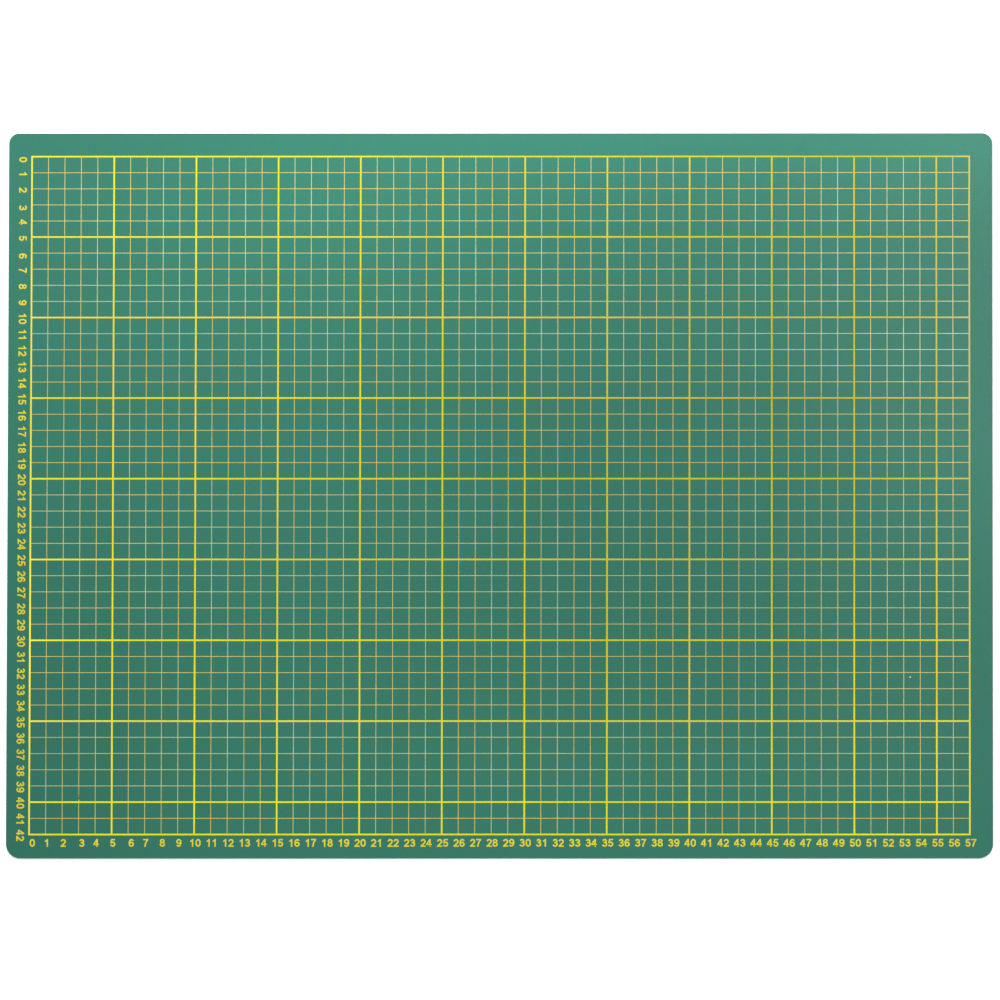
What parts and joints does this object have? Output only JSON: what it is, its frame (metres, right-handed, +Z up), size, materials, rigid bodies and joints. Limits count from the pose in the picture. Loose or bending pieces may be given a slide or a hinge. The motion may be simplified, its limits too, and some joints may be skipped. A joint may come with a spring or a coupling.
{
  "type": "self healing cutting mat",
  "caption": "Flat laminated self healing cutting mat with rounded corners, a printed centimetre grid, and number scales along its bottom and left sides.",
  "frame": {"origin": "centre of the underside, on the surface that the mat lies on", "axes": "+X along the long side, in the direction the bottom scale counts up; +Y along the short side, towards the 0 end of the left scale; +Z up, out of the printed face"},
  "size_m": [0.598, 0.449, 0.003],
  "materials": {
    "green_face": "matte",
    "green_reverse": "matte",
    "white_inner": "matte",
    "hard_core": "satin",
    "print_bold": "matte",
    "print_fine": "matte",
    "print_numbers": "matte"
  },
  "bodies": {
    "root": {"top_cutting_ply": "green_face", "upper_inner_ply": "white_inner", "rigid_core_ply": "hard_core", "lower_inner_ply": "white_inner", "bottom_cutting_ply": "green_reverse", "grid_border_line": "print_bold", "five_centimetre_lines": "print_bold", "one_centimetre_lines": "print_fine", "bottom_scale_numbers": "print_numbers", "left_scale_numbers": "print_numbers"}
  },
  "joints": []
}
